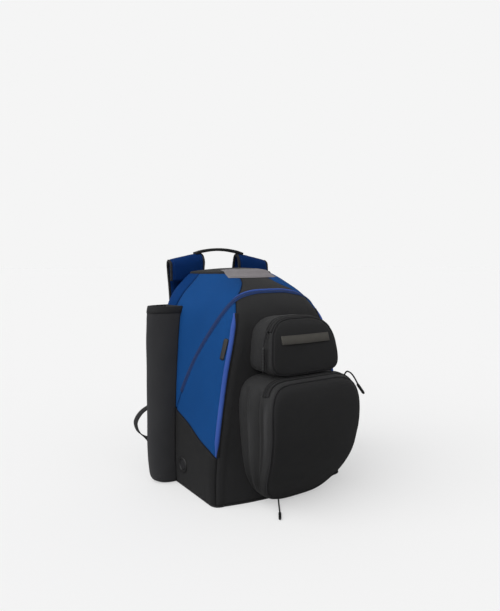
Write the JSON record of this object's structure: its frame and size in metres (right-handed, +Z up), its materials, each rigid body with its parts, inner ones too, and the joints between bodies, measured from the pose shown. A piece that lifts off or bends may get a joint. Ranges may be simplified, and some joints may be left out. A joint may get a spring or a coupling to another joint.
{
  "type": "baseball equipment backpack",
  "caption": "Soft baseball backpack that stands on a flat base, with an open bat sleeve on each side, a bulging front pocket under a small one, padded shoulder straps and a grab handle.",
  "frame": {"origin": "on the floor plane under the middle of the body's base", "axes": "+Z up, the front with its pockets faces -Y, +X to the right of someone facing the front"},
  "size_m": [0.4506, 0.4158, 0.5078],
  "materials": {
    "blue_cloth": "woven polyester, matt",
    "navy_cloth": "padded mesh cloth, matt",
    "black_cloth": "woven polyester, matt",
    "black_neoprene": "knit-faced neoprene, matt",
    "blue_zip": "coil zip with covered tape",
    "black_zip": "coil zip with tape",
    "black_webbing": "woven webbing and cord",
    "grey_patch": "plain woven band",
    "black_plastic": "moulded ring with mesh"
  },
  "bodies": {
    "root": {"back_gusset_left": "navy_cloth", "back_gusset_right": "navy_cloth", "back_panel": "navy_cloth", "base_panel": "black_cloth", "bat_sleeve_left": "black_neoprene", "bat_sleeve_right": "black_neoprene", "floor_zip_pull": "black_webbing", "front_panel": "black_cloth", "grab_handle": "black_webbing", "lower_pocket_front": "black_cloth", "lower_pocket_gusset": "black_cloth", "lower_pocket_zip": "black_zip", "lower_side_panel_left": "black_cloth", "lower_side_panel_right": "black_cloth", "lower_zip_pull": "black_webbing", "main_zip": "blue_zip", "shoulder_strap_left": "navy_cloth", "shoulder_strap_right": "navy_cloth", "side_front_panel_left": "blue_cloth", "side_front_panel_right": "blue_cloth", "side_piping_left": "blue_cloth", "side_piping_right": "blue_cloth", "side_pull_left": "black_webbing", "side_pull_right": "black_webbing", "side_rear_panel_left": "blue_cloth", "side_rear_panel_right": "blue_cloth", "side_vent_left": "black_plastic", "side_vent_right": "black_plastic", "strap_webbing_left": "black_webbing", "strap_webbing_right": "black_webbing", "top_front_panel": "black_cloth", "top_lid": "black_cloth", "top_patch": "grey_patch", "upper_pocket_band": "grey_patch", "upper_pocket_front": "black_cloth", "upper_pocket_gusset": "black_cloth", "upper_pocket_zip": "black_zip", "upper_zip_pull": "black_webbing"}
  },
  "joints": []
}
